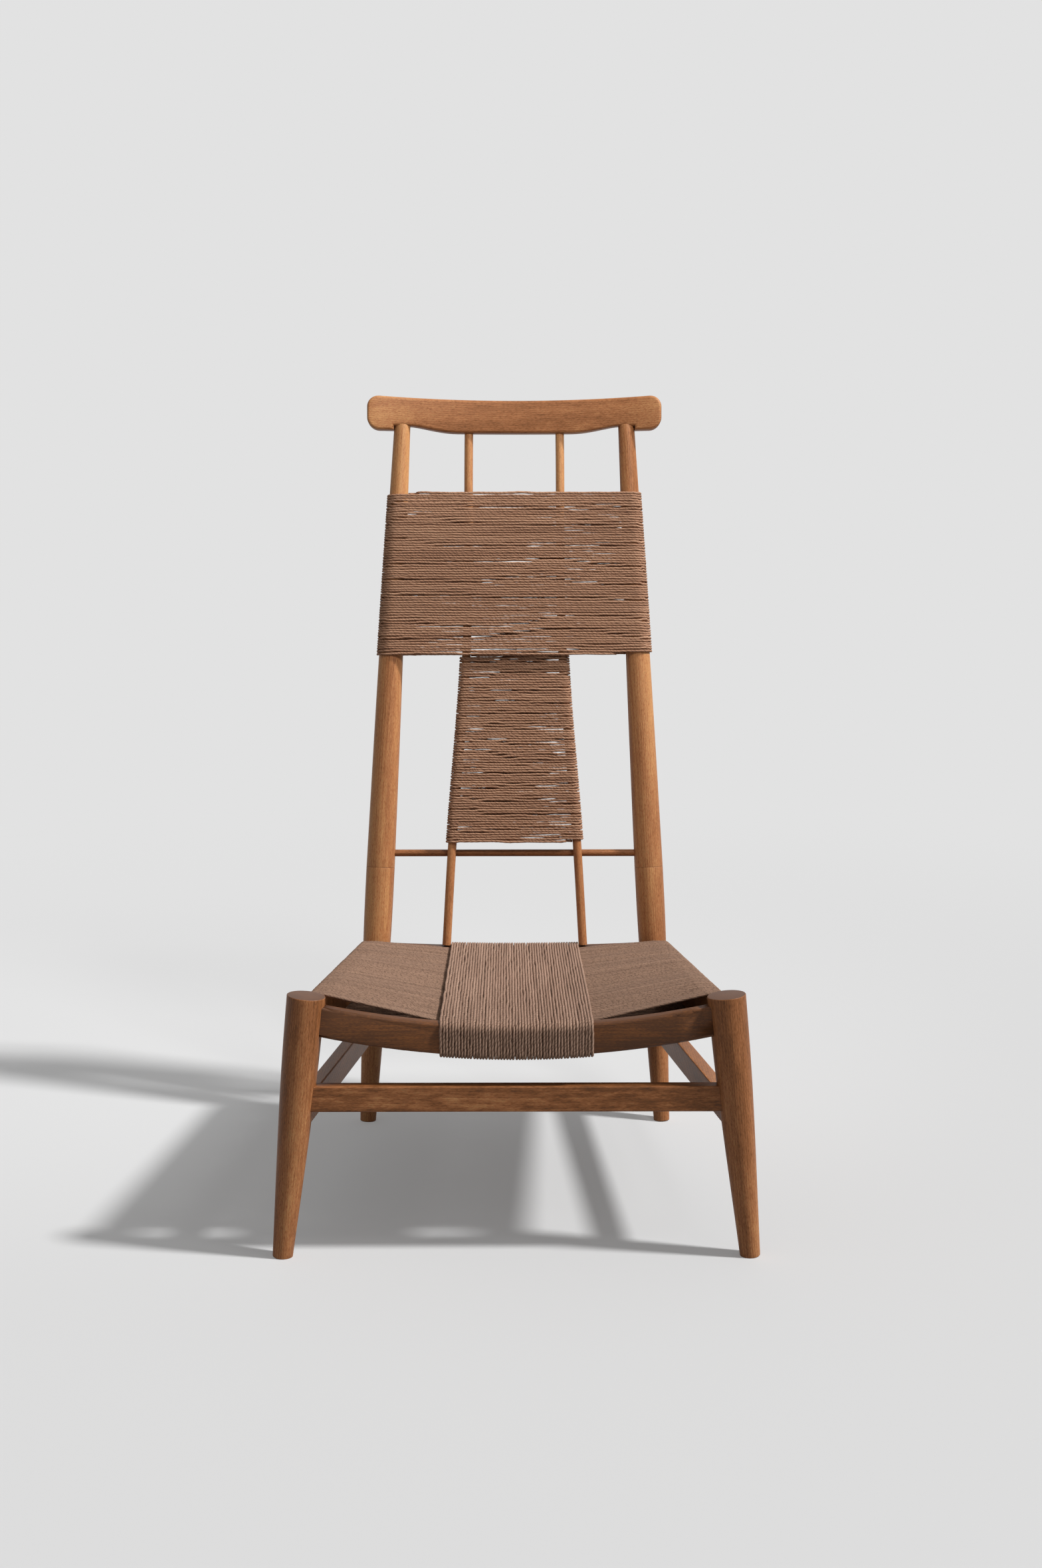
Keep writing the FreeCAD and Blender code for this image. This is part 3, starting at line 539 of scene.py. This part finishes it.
    # The outline's two ends are joined before the grooves are sunk, so that both sink alike
    skin = add(tree, "GeometryNodeMergeByDistance", {
        "Geometry": skin, "Distance": cord_merge * MM}).outputs[0]
    swing = add(tree, "ShaderNodeMath", {0: around, 1: twists}, operation="SUBTRACT").outputs[0]
    swing = add(tree, "ShaderNodeMath", {0: swing, 1: 2 * FULL_TURN}, operation="MULTIPLY").outputs[0]
    swing = add(tree, "ShaderNodeMath", {0: swing}, operation="COSINE").outputs[0]
    depth = add(tree, "ShaderNodeMath", {0: swing, 1: given["Groove"]}, operation="MULTIPLY").outputs[0]
    face = add(tree, "GeometryNodeInputNormal").outputs[0]
    offset = add(tree, "ShaderNodeVectorMath", {0: face, "Scale": depth}, operation="SCALE").outputs[0]
    skin = add(tree, "GeometryNodeSetPosition", {"Geometry": skin, "Offset": offset}).outputs[0]
    skin = add(tree, "GeometryNodeSetShadeSmooth", {"Geometry": skin, "Shade Smooth": True}).outputs[0]
    skin = add(tree, "GeometryNodeRealizeInstances", {"Geometry": skin}).outputs[0]
    skin = add(tree, "GeometryNodeSetMaterial", {"Geometry": skin, "Material": given["Material"]}).outputs[0]
    add(tree, "NodeGroupOutput", {0: skin})
    return tree


def turning_tree():
    """A round piece turned about its path, as thick at each point as the path says."""
    tree, given = new_tree("turned_piece", [
        ("Path", "NodeSocketGeometry"), ("Sides", "NodeSocketInt"), ("Material", "NodeSocketMaterial")])
    thick = add(tree, "GeometryNodeInputRadius").outputs[0]
    ring = add(tree, "GeometryNodeCurvePrimitiveCircle", {
        "Resolution": given["Sides"], "Radius": 1.0}).outputs["Curve"]
    skin = add(tree, "GeometryNodeCurveToMesh", {
        "Curve": given["Path"], "Profile Curve": ring, "Scale": thick, "Fill Caps": True}).outputs[0]
    # A foot is sawn level with the floor: no Z stays below 0, and X and Y stay as they are
    spot = add(tree, "GeometryNodeInputPosition").outputs[0]
    spot = add(tree, "ShaderNodeVectorMath", {0: spot, 1: (-9.0, -9.0, 0.0)}, operation="MAXIMUM").outputs[0]
    skin = add(tree, "GeometryNodeSetPosition", {"Geometry": skin, "Position": spot}).outputs[0]
    skin = add(tree, "GeometryNodeSetShadeSmooth", {"Geometry": skin, "Shade Smooth": True}).outputs[0]
    skin = add(tree, "GeometryNodeRealizeInstances", {"Geometry": skin}).outputs[0]
    skin = add(tree, "GeometryNodeSetMaterial", {"Geometry": skin, "Material": given["Material"]}).outputs[0]
    add(tree, "NodeGroupOutput", {0: skin})
    return tree


turning = turning_tree()
laid = cord_tree()


# Making pieces

def placed(name, data):
    """A new object in the scene for a mesh, a curve, a lamp or the camera."""
    made = bpy.data.objects.new(name, data)
    bpy.context.scene.collection.objects.link(made)
    return made


def grown(name, tree, points, radii, values):
    """The piece that a tree grows on a path; points and radii are in millimetres."""
    data = bpy.data.curves.new(name + "_path", "CURVE")
    data.dimensions = "3D"
    spline = data.splines.new("POLY")
    spline.points.add(len(points) - 1)
    for spot, point, radius in zip(spline.points, points, radii):
        spot.co = (*(point * MM), 1)
        spot.radius = radius * MM
    path = placed(name + "_path", data)
    modifier = path.modifiers.new("grow", "NODES")
    modifier.node_group = tree
    for item in tree.interface.items_tree:
        if item.in_out == "INPUT" and item.name in values:
            modifier[item.identifier] = values[item.name]
    mesh = bpy.data.meshes.new_from_object(path.evaluated_get(bpy.context.evaluated_depsgraph_get()))
    bpy.data.objects.remove(path)
    bpy.data.curves.remove(data)
    mesh.name = name
    return placed(name, mesh)


def shaded(mesh, sharp):
    """Smooth, but for edges sharper than this many degrees."""
    mesh.polygons.foreach_set("use_smooth", [True] * len(mesh.polygons))
    mesh.set_sharp_from_angle(angle=math.radians(sharp))


def dress(piece, slot, *nodes):
    """A finished piece takes the place of its CAD nodes."""
    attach(piece, "root")
    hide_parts(*nodes)


def turned(node, start, end, profile, dia, wood, low_round, top_round, waste=0.0):
    """A turned leg or post with softened ends, whose foot runs past its start by its waste."""
    along = (end - start).normalized()
    length = (end - start).length
    quarter = [math.pi / 2 * i / round_steps for i in range(round_steps + 1)]
    stations = [(low_round * (1 - math.cos(angle)) - waste, low_round * (math.sin(angle) - 1))
                for angle in quarter]
    stations += [(length * i / leg_steps, 0.0) for i in range(1, leg_steps)]
    stations += [(length - top_round * (1 - math.sin(angle)), top_round * (math.cos(angle) - 1))
                 for angle in quarter]
    points = [start + along * s for s, eased in stations]
    radii = [smoothed(profile, min(max(s / length, 0), 1)) * dia / 2 + eased for s, eased in stations]
    piece = grown(node + "_oak", turning, points, radii, {"Sides": leg_sides, "Material": wood})
    shaded(piece.data, turned_sharp)
    dress(piece, "wood", node)


def planed(node, wood):
    """A smooth-shaded copy of a sawn and planed piece."""
    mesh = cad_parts[node].data.copy()
    mesh.name = node + "_oak"
    bm = bmesh.new()
    bm.from_mesh(mesh)
    bmesh.ops.remove_doubles(bm, verts=bm.verts, dist=planed_merge * MM)
    bmesh.ops.dissolve_limit(bm, angle_limit=math.radians(flat_angle), verts=bm.verts, edges=bm.edges)
    bm.to_mesh(mesh)
    bm.free()
    mesh.materials.clear()
    mesh.materials.append(wood)
    shaded(mesh, planed_sharp)
    dress(placed(node + "_oak", mesh), "wood", node)


# The wooden frame. Each piece's tone is partly its own wood and partly painted light and shade: the back's
# upper pieces are made lighter and the pieces low at the front darker.

for node, hand in sides("front_leg"):
    foot = on_seat(hand * front_foot_spread / 2, 0, 0)
    top = on_seat(hand * front_leg_top_spread / 2, 0, front_leg_height)
    oak = oiled_oak("oiled_oak_" + node, grain=(top - foot).normalized(),
                    heart=(0.07 * hand, 0.45, 0.3 * hand), tone=-0.02, figure=0.25)
    turned(node, foot, top, front_leg_profile, front_leg_dia, oak,
           low_round=foot_round, top_round=front_leg_top_round, waste=foot_waste)

for node, hand in sides("rear_leg"):
    foot = on_back(hand * post_half(0), 0)
    top = on_back(hand * post_half(rear_leg_length), rear_leg_length)
    oak = oiled_oak("oiled_oak_" + node, grain=(top - foot).normalized(),
                    heart=(0.09, 0.05 * hand, 0.7), tone=0.06)
    turned(node, foot, top, rear_leg_profile, seam_dia, oak,
           low_round=foot_round, top_round=post_end_round, waste=foot_waste)

for node, hand in sides("back_post"):
    foot = on_back(hand * post_half(rear_leg_length), rear_leg_length)
    top = on_back(hand * post_half(back_length), back_length)
    oak = oiled_oak("oiled_oak_" + node, grain=(top - foot).normalized(),
                    heart=(0.06, -0.08 * hand, 0.1), tone=0.15)
    turned(node, foot, top, back_post_profile, seam_dia, oak,
           low_round=post_end_round, top_round=post_end_round)

# The spindles start inside the rear rail, which rises a little towards its ends
for node, hand in sides("spindle"):
    heights = [mix(spindle_foot_v + spindle_foot_lift, spindle_top[2] + spindle_into_crest, i / rod_steps)
               for i in range(rod_steps + 1)]
    points = [on_back(hand * spindle_half(v), v, spindle_w(v)) for v in heights]
    oak = oiled_oak("oiled_oak_" + node, grain=(points[-1] - points[0]).normalized(),
                    heart=(0.05, 0.04, 0.2 * hand), tone=0.15)
    piece = grown(node + "_oak", turning, points, [spindle_dia / 2] * len(points),
                  {"Sides": rod_sides, "Material": oak})
    dress(piece, "wood", node)

half = post_half(back_dowel_height)
ends = [on_back(-half, back_dowel_height), on_back(half, back_dowel_height)]
oak = oiled_oak("oiled_oak_back_dowel", grain=(1, 0, 0), heart=(0.05, 0.04, 0.2), tone=-0.05)
piece = grown("back_dowel_oak", turning, ends, [back_dowel_dia / 2] * 2,
              {"Sides": rod_sides, "Material": oak})
dress(piece, "wood", "back_dowel")

board_oak = oiled_oak("oiled_oak_boards", grain=(1, 0, 0), heart=(0.06, 0.03, 0.2), tone=-0.07, figure=0.7)
# The seat rails' much darker tone is painted shade, for the shade low under the seat's front
rail_oak_with_painted_shade = oiled_oak("oiled_oak_seat_rails_with_painted_shade", grain=(1, 0, 0), heart=(0.04, 0.06, 0.4), tone=-0.27, figure=0.3)
side_oak = oiled_oak("oiled_oak_side_boards", grain=(0, 1, 0), heart=(0.05, 0.08, 0.0), tone=-0.02)
planed("front_seat_rail", rail_oak_with_painted_shade)
planed("rear_seat_rail", rail_oak_with_painted_shade)
planed("front_stretcher", board_oak)
for name in ("side_seat_rail", "side_stretcher", "post_dowel"):
    for node, hand in sides(name):
        planed(node, side_oak)


# The crest rail, a board bent in plan, its long edges well rounded

def crest_low(u):
    """The board's lower edge above the posts' top: ears outside the posts, a belly between them."""
    if u > crest_notch:
        return -crest_ear_drop
    share = min(max((crest_notch - 2 * post_radius(back_length) - u) / crest_sweep, 0), 1)
    return mix(-crest_seat_drop, crest_belly_lift - crest_belly_drop,
               math.sin(math.pi / 2 * share) ** crest_sweep_power)


def crest_columns():
    """Places along the board, each with its lower and its upper edge."""
    corner = crest_corner_round
    spots = [crest_wide_step * i for i in range(crest_wide_columns)]
    spots += [crest_wide_step * crest_wide_columns + crest_close_step * i for i in range(crest_close_columns)]
    columns = [(u, crest_low(u)) for u in spots if u < crest_notch]
    columns += [(crest_notch, -crest_seat_drop), (crest_notch, -crest_ear_drop)]
    columns += [(crest_notch + crest_wide_step * i, -crest_ear_drop) for i in (1, 2, 3)]
    for i in range(crest_corner_steps + 1):
        angle = math.pi / 2 * i / crest_corner_steps
        columns.append((crest_half - corner + corner * math.sin(angle),
                        -crest_ear_drop + corner * (1 - math.cos(angle))))
    full = []
    for u, low in columns:
        top = crest_rise + crest_end_rise * (u / crest_half) ** 2
        past = max(u - (crest_half - corner), 0)
        full.append((u, low, top - corner + math.sqrt(max(corner ** 2 - past ** 2, 0))))
    return [(-u, low, top) for u, low, top in full[:0:-1]] + full


def crest(node, wood):
    """Rings of the board's outline, drawn in towards both faces by the rounding of its edges."""
    columns = crest_columns()
    outline = [Vector((u, low)) for u, low, top in columns]
    outline += [Vector((u, top)) for u, low, top in columns[::-1]]
    count = len(outline)
    # Which way each point of the outline moves in: between its two edges, further in a corner
    shortest_run, least_mitre = 0.01, 0.6
    inward = []
    for i, spot in enumerate(outline):
        edge_ways = []
        for other, sign in ((outline[i - 1], 1), (outline[(i + 1) % count], -1)):
            run = (spot - other) * sign
            if run.length > shortest_run:
                run.normalize()
                edge_ways.append(Vector((-run.y, run.x)))
        way = sum(edge_ways, Vector((0, 0))).normalized()
        inward.append(way / max(way.dot(edge_ways[0]), least_mitre))
    rings = []
    for i in range(crest_edge_steps + 1):
        angle = math.pi / 2 * i / crest_edge_steps
        rings.append((crest_edge * (1 - math.sin(angle)),
                      -crest_thick / 2 + crest_edge * (1 - math.cos(angle))))
    rings += [(inset, -t) for inset, t in rings[::-1]]
    bm = bmesh.new()
    grid = []
    for inset, t in rings:
        ring = []
        for spot, way in zip(outline, inward):
            u, v = spot + way * inset
            w = crest_middle_w - crest_radius + math.sqrt((crest_radius + t) ** 2 - u ** 2)
            ring.append(bm.verts.new(on_back(u, back_length + v, w) * MM))
        grid.append(ring)
    for a, b in zip(grid, grid[1:]):
        for i in range(count):
            j = (i + 1) % count
            bm.faces.new((a[i], a[j], b[j], b[i]))
    for ring in (grid[0], grid[-1]):
        for i in range(count // 2 - 1):
            bm.faces.new((ring[i], ring[i + 1], ring[count - 2 - i], ring[count - 1 - i]))
    bmesh.ops.remove_doubles(bm, verts=bm.verts, dist=crest_merge * MM)
    bmesh.ops.recalc_face_normals(bm, faces=bm.faces)
    mesh = bpy.data.meshes.new(node + "_oak")
    bm.to_mesh(mesh)
    bm.free()
    mesh.materials.append(wood)
    shaded(mesh, crest_sharp)
    dress(placed(node + "_oak", mesh), "wood", node)


crest_oak = oiled_oak("oiled_oak_crest", grain=(1, 0, 0), heart=(0.0, 0.10, 0.05), tone=0.10, figure=0.25)
crest("crest_rail", crest_oak)


# The windings

back_paper = paper_cord("laid_paper_cord_of_the_back", [
    (0.02, "#33221A"), (0.22, "#674835"), (0.50, "#966C52"), (0.90, "#C09678")])
# The seat's sides get a darker copy of the seat's cord: the darkening is painted shade
side_paper_with_painted_shade = paper_cord("laid_paper_cord_of_the_seat_sides_with_painted_shade", [
    (0.02, "#2C1E17"), (0.22, "#574034"), (0.50, "#785C4A"), (0.90, "#A07F69")], groove_shade=0.28)
seat_paper = paper_cord("laid_paper_cord_of_the_seat", [
    (0.02, "#382820"), (0.22, "#664D3E"), (0.50, "#8E6F5C"), (0.90, "#B89782")])


def wind(node, turns, parts, beside, bundle, wander, stray, gape, paper):
    """Cord grown along a winding's turns, in parts that meet halfway along a hidden run.

    The turns lie side by side along beside, each straying by some of stray, in bundles that gape
    by up to gape along their seams. Wander is over what length a seam wanders, in each direction.
    """
    each = math.ceil(len(turns) / parts)
    for part in range(parts):
        corners = [c for turn in turns[part * each:(part + 1) * each] for c in turn]
        if part > 0:
            last = turns[part * each - 1][-1][0]
            corners.insert(0, ((last + corners[0][0]) / 2, 0))
        if part < parts - 1:
            first = turns[(part + 1) * each][0][0]
            corners.append(((corners[-1][0] + first) / 2, 0))
        points, radii = zip(*corners)
        piece = grown(node + "_" + str(part + 1), laid, points, radii, {
            "Diameter": cord_dia * MM, "Groove": cord_groove * MM, "Lay": cord_lay * MM,
            "Ring Spacing": cord_ring_spacing * MM, "Side By Side": beside, "Stray": stray * MM,
            "Stray Length": stray_length * MM, "Gape": gape * MM, "Bundle": bundle * MM,
            "Zone": seam_width * cord_dia / bundle, "Wander": [1 / (w * MM) for w in wander],
            "Seed": part_seed * part, "Material": paper})
        bm = bmesh.new()
        bm.from_mesh(piece.data)
        bmesh.ops.holes_fill(bm, edges=[e for e in bm.edges if e.is_boundary])
        bm.to_mesh(piece.data)
        bm.free()
        dress(piece, "cord", node)


def back_winding(low, high, count, half_at, radius_at, w_at):
    """Turns about two rods of the back, level in front and climbing behind."""
    def tuck(v, hand):
        """An end of the cord, turned in behind the front turns and square to its rod."""
        around = radius_at(v) + wrap
        face = half_at(v) - radius_at(v) - cord_gap
        far = face - back_end_run - around / 2
        return [(on_back(hand * face, v, w_at(v)), 0), (on_back(hand * far, v, w_at(v)), around / 2),
                (on_back(hand * far, v, w_at(v) - around), around / 2)]

    turns = []
    for i in range(count + 1):
        v = mix(low, high, i / count)
        around = radius_at(v) + wrap
        side = half_at(v) + around
        turn = [(on_back(hand * side, v, w_at(v) + way * around), around * rod_bend_share)
                for hand, way in ((1, 1), (1, -1), (-1, -1), (-1, 1))]
        if i == 0:
            turn = tuck(v, 1) + turn[2:]
        if i == count:
            turn = turn[:2] + tuck(v, -1)[::-1]
        turns.append(turn)
    return turns


def band_level(x, along):
    """Height of the band cord's middle line, along being 0 at the front rail and 1 at the rear."""
    front = front_rail_top + arc_rise(x, front_rail_half, front_rail_sag)
    rear = rear_rail_top + arc_rise(x, rear_rail_half, rear_rail_sag)
    return mix(front, rear, along) + wrap


def tuck_ends(turns):
    """A seat winding's two ends are tucked in along the underside."""
    turns[0].insert(0, (turns[0][0][0].lerp(turns[0][-1][0], seat_end_share), 0))
    turns[-1].append((turns[-1][-1][0].lerp(turns[-1][0][0], seat_end_share), 0))
    return turns


def cross_winding():
    """Turns about the side rails, dipping under the band and moving back below."""
    last = rear_rail_front - wrap
    edge = rail_edge + wrap
    half = band_width / 2
    turns = []
    for i in range(cross_turns + 1):
        y = mix(cross_front, last, i / cross_turns)
        side = side_rail_x(y) + side_rail_thick / 2 + wrap
        inner = side_rail_x(y) - side_rail_thick / 2
        top = side_rail_top(y) + wrap
        low = top - 2 * side_half_rise - 2 * wrap
        along = (y - front_rail_back) / (rear_rail_back - front_rail_back)
        dip = band_level(0, along) - 2 * wrap
        over = [(side, low, edge), (side, top, edge), (inner, top, edge), (half, dip, cross_dip_bend)]
        turn = [(on_seat(x, y, z), r) for x, z, r in over]
        turns.append(turn + [(on_seat(-x, y, z), r) for x, z, r in over[::-1]])
    return tuck_ends(turns)


def band_winding():
    """Turns about the front and rear rails, over the cords that cross the seat."""
    front = front_rail_front - wrap
    rear = rear_rail_back + wrap
    edge = rail_edge + wrap
    first = -band_width / 2 + cord_dia / 2
    turns = []
    for i in range(band_turns + 1):
        x = mix(first, -first, i / band_turns)
        level = band_level(x, 0)
        low = rear_rail_low + arc_rise(x, rear_rail_half, rear_rail_sag) - wrap
        turns.append([
            (on_seat(x, rear_rail_front, low), band_seat_bend), (on_seat(x, rear, low), edge),
            (on_seat(x, rear, band_level(x, 1)), edge), (on_seat(x, front_rail_back, level), band_seat_bend),
            (on_seat(x, front, level), band_front_bend),
            (on_seat(x, front, level - front_rail_height - 2 * wrap), edge)])
    return tuck_ends(turns)


up_back = Vector((0, math.sin(lean), math.cos(lean)))
wind("upper_back_cord",
     back_winding(upper_low, upper_high, upper_turns, post_half, post_radius, lambda v: 0.0),
     parts=2, beside=up_back, bundle=29.0, wander=(200, 20, 60), stray=2.2, gape=1.7, paper=back_paper)
wind("lower_back_cord",
     back_winding(lower_low, lower_high, lower_turns, spindle_half, lambda v: spindle_dia / 2, spindle_w),
     parts=1, beside=up_back, bundle=22.0, wander=(110, 20, 45), stray=2.4, gape=1.6, paper=back_paper)
wind("seat_cross_cord", cross_winding(), parts=5, beside=Vector((0, 1, 0)),
     bundle=31.0, wander=(230, 60, 20), stray=1.8, gape=1.0, paper=side_paper_with_painted_shade)
wind("seat_band_cord", band_winding(), parts=2, beside=Vector((1, 0, 0)),
     bundle=31.0, wander=(60, 230, 20), stray=1.8, gape=0.7, paper=seat_paper)


# Studio

mesh = bpy.data.meshes.new("studio_floor")
corners = [(x * floor_reach, y * floor_reach, 0) for x, y in ((-1, -1), (1, -1), (1, 1), (-1, 1))]
mesh.from_pydata(corners, [], [(0, 1, 2, 3)])
mesh.materials.append(painted_floor("matt_grey_floor"))
floor = placed("studio_floor", mesh)


def lamp(name, kind, spot, aim, power, **settings):
    data = bpy.data.lights.new(name, kind)
    data.energy = power
    for key, value in settings.items():
        setattr(data, key, value)
    light = placed(name, data)
    light.visible_camera = False
    light.location = spot
    light.rotation_euler = (Vector(aim) - Vector(spot)).to_track_quat("-Z", "Y").to_euler()


lamp("key", "SUN", spot=(6.0, -1.5, 6.8), aim=(0, 0, 0), power=3.4, angle=math.radians(6.0))
lamp("front_softbox", "AREA", spot=(0.75, -0.95, 2.0), aim=(0.0, 0.2, 1.05), power=2.3,
     shape="DISK", size=0.5, spread=math.radians(65))

world = bpy.data.worlds.new("studio_air")
world.use_nodes = True
tree = world.node_tree
tree.nodes.clear()
light = add(tree, "ShaderNodeBackground", {"Color": linear("#F2F2F2"), "Strength": air_strength})
view = add(tree, "ShaderNodeBackground", {"Color": linear(studio_grey), "Strength": 1.0})
both = add(tree, "ShaderNodeMixShader", {0: seen_directly(tree), 1: light.outputs[0], 2: view.outputs[0]})
add(tree, "ShaderNodeOutputWorld", {"Surface": both.outputs[0]})
bpy.context.scene.world = world

data = bpy.data.cameras.new("camera")
data.lens = camera_lens
data.sensor_width = camera_film
camera = placed("camera", data)
camera.location = camera_spot
camera.rotation_euler = (math.radians(90 - camera_down), 0, math.radians(camera_turn))
bpy.context.scene.camera = camera
bpy.context.scene.view_settings.view_transform = "Standard"
